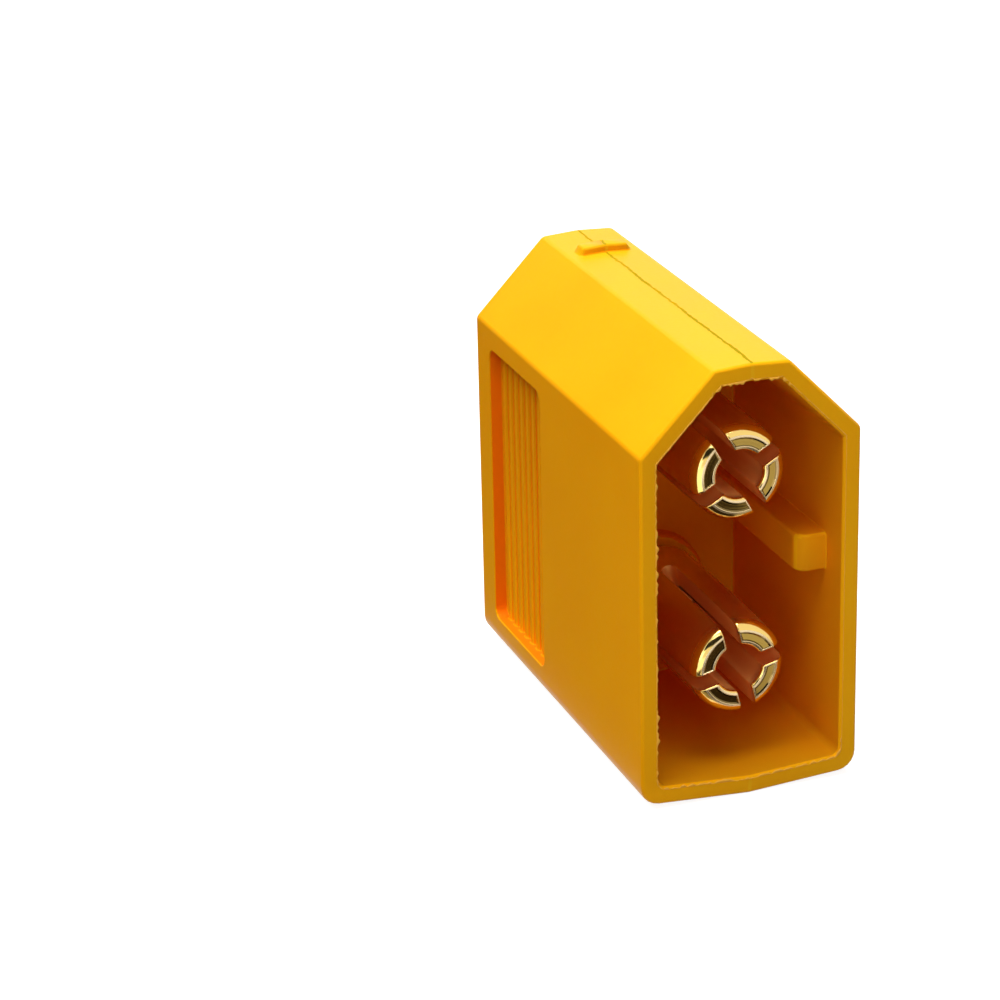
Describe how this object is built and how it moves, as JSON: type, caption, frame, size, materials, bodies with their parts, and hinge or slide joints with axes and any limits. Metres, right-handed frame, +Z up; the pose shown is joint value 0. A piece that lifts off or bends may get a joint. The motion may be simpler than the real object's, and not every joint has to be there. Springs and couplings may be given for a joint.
{
  "type": "shrouded two-pin battery power connector",
  "caption": "High-current two-pole battery connector half: split spring pins in a keyed nylon shroud, with solder cups behind.",
  "frame": {"origin": "under the middle of the part, at the centre of the base of its bounding box", "axes": "+Z up along the line through both pins, the mouth of the shroud faces -Y, the solder cups point to +Y, +X across the two broad sides"},
  "size_m": [0.0082, 0.0204, 0.0162],
  "materials": {
    "nylon": "yellow moulded nylon, satin",
    "gold_plate": "turned brass, gold plated, bright"
  },
  "bodies": {
    "root": {"housing": "nylon", "negative_contact": "gold_plate", "positive_contact": "gold_plate"}
  },
  "joints": []
}
